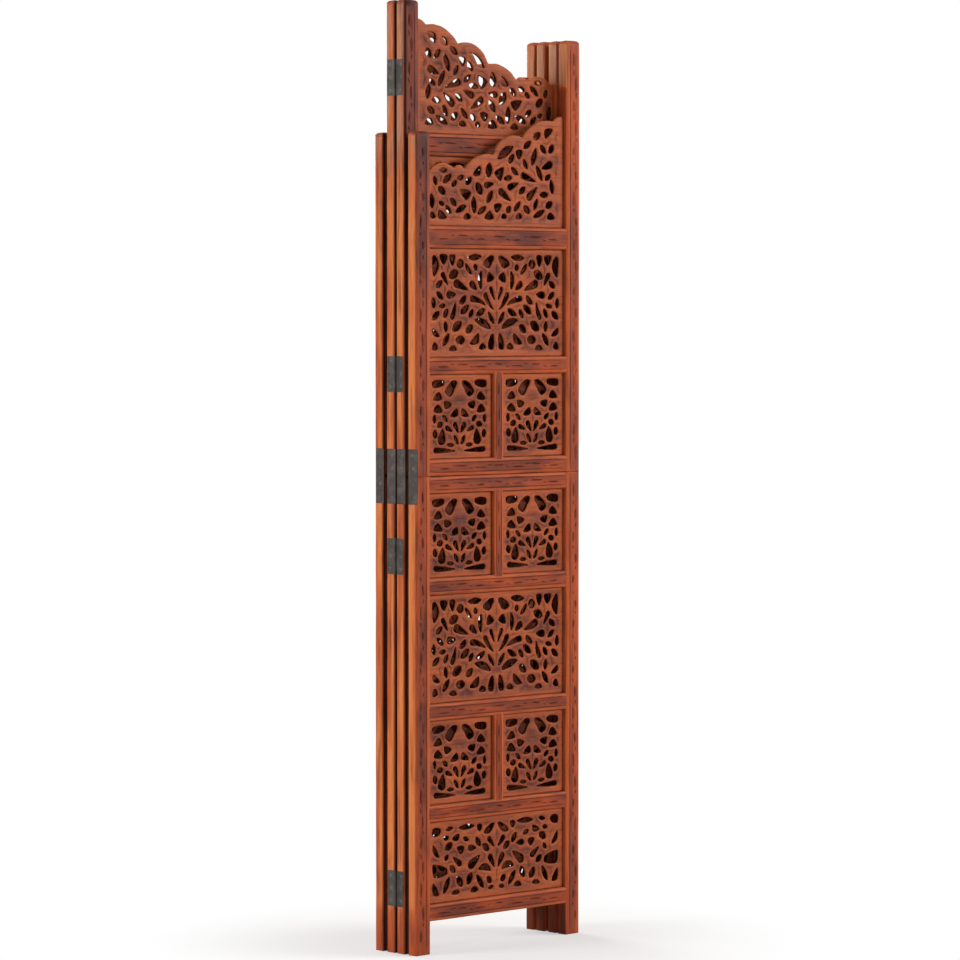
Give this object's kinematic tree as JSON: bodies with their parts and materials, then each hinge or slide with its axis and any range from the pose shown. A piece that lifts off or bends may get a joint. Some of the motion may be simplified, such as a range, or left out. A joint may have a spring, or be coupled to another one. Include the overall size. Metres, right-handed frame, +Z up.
{
  "type": "folding room divider",
  "caption": "Free-standing folding screen: hinged wooden panels with pierced, carved floral boards, rails, tall stiles and scalloped crests. Folds flat or opens to divide a room.",
  "frame": {"origin": "on the floor, at the middle of the folded stack's outer box", "axes": "+Z up, +X along the front panel to its right, +Y from the front panel towards the back one"},
  "size_m": [0.408, 0.106, 1.6491],
  "materials": {
    "frame_wood": "stained and waxed",
    "board_wood": "stained and waxed",
    "iron": "dark, aged"
  },
  "bodies": {
    "panel_1": {"hinge_1_2_leaves_on_panel_1": "iron", "panel_1_crest_board": "board_wood", "panel_1_joining_plates": "iron", "panel_1_lower_left_stile": "frame_wood", "panel_1_lower_rails": "frame_wood", "panel_1_lower_right_stile": "frame_wood", "panel_1_muntins": "frame_wood", "panel_1_screws": "iron", "panel_1_small_boards": "board_wood", "panel_1_upper_left_stile": "frame_wood", "panel_1_upper_rails": "frame_wood", "panel_1_upper_right_stile": "frame_wood", "panel_1_wide_boards": "board_wood"},
    "panel_2": {"hinge_1_2_leaves_on_panel_2": "iron", "hinge_1_2_pins": "iron", "hinge_2_3_leaves_on_panel_2": "iron", "hinge_2_3_pins": "iron", "panel_2_crest_board": "board_wood", "panel_2_joining_plates": "iron", "panel_2_lower_left_stile": "frame_wood", "panel_2_lower_rails": "frame_wood", "panel_2_lower_right_stile": "frame_wood", "panel_2_muntins": "frame_wood", "panel_2_screws": "iron", "panel_2_small_boards": "board_wood", "panel_2_upper_left_stile": "frame_wood", "panel_2_upper_rails": "frame_wood", "panel_2_upper_right_stile": "frame_wood", "panel_2_wide_boards": "board_wood"},
    "panel_3": {"hinge_2_3_leaves_on_panel_3": "iron", "hinge_3_4_leaves_on_panel_3": "iron", "hinge_3_4_pins": "iron", "panel_3_crest_board": "board_wood", "panel_3_joining_plates": "iron", "panel_3_lower_left_stile": "frame_wood", "panel_3_lower_rails": "frame_wood", "panel_3_lower_right_stile": "frame_wood", "panel_3_muntins": "frame_wood", "panel_3_screws": "iron", "panel_3_small_boards": "board_wood", "panel_3_upper_left_stile": "frame_wood", "panel_3_upper_rails": "frame_wood", "panel_3_upper_right_stile": "frame_wood", "panel_3_wide_boards": "board_wood"},
    "panel_4": {"hinge_3_4_leaves_on_panel_4": "iron", "panel_4_crest_board": "board_wood", "panel_4_joining_plates": "iron", "panel_4_lower_left_stile": "frame_wood", "panel_4_lower_rails": "frame_wood", "panel_4_lower_right_stile": "frame_wood", "panel_4_muntins": "frame_wood", "panel_4_screws": "iron", "panel_4_small_boards": "board_wood", "panel_4_upper_left_stile": "frame_wood", "panel_4_upper_rails": "frame_wood", "panel_4_upper_right_stile": "frame_wood", "panel_4_wide_boards": "board_wood"}
  },
  "joints": [
    {"name": "back_fold", "type": "hinge", "parent": "panel_2", "child": "panel_1", "pos_m": [0.20096, 0.02608, 0], "axis": [0, 0, -1], "range_deg": [-0.7, 179.3]},
    {"name": "middle_fold", "type": "hinge", "parent": "panel_2", "child": "panel_3", "pos_m": [-0.20096, -0.00032, 0], "axis": [0, 0, -1], "range_deg": [-0.8, 179.2]},
    {"name": "front_fold", "type": "hinge", "parent": "panel_3", "child": "panel_4", "pos_m": [0.20076, -0.02953, 0], "axis": [0, 0, 1], "range_deg": [-0.6, 179.4]}
  ]
}
